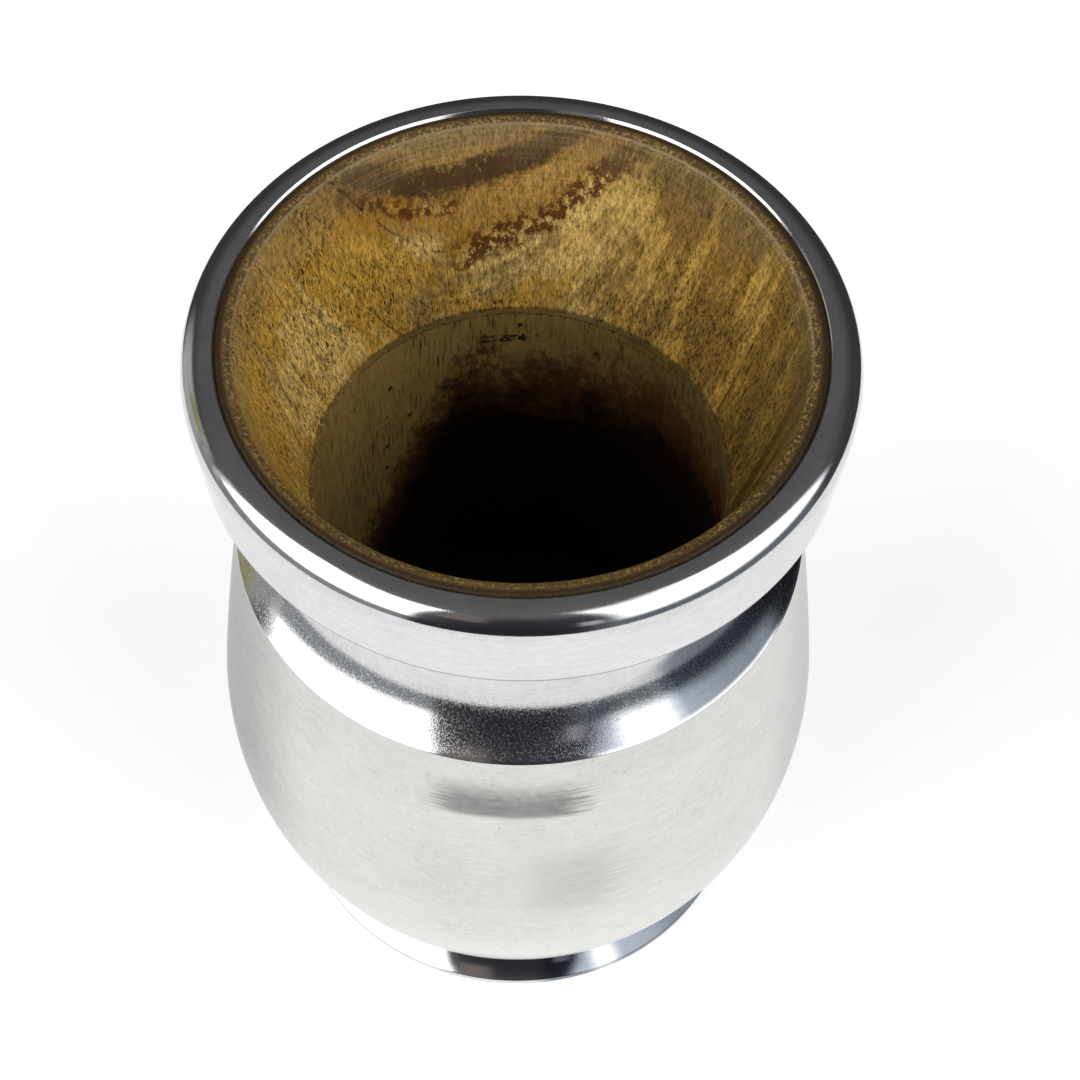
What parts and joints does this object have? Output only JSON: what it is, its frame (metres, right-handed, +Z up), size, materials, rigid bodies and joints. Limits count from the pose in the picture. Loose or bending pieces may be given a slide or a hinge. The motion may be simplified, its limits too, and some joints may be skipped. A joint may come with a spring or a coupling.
{
  "type": "mate cup",
  "caption": "Mate drinking cup: polished metal jacket with a rounded rim, hollow neck and footed body around a funnel-mouthed wooden liner.",
  "frame": {"origin": "centre of the foot's underside, where the cup stands", "axes": "+Z up along the turning axis, towards the mouth; the cup is round, so +X and +Y have no mark on it"},
  "size_m": [0.081, 0.0809, 0.1062],
  "materials": {
    "metal": "turned and polished aluminium with fine lathe lines and small pits",
    "wood": "oiled turned hardwood with long dark pores, stained dark down the bore"
  },
  "bodies": {
    "root": {"jacket": "metal", "liner": "wood"}
  },
  "joints": []
}
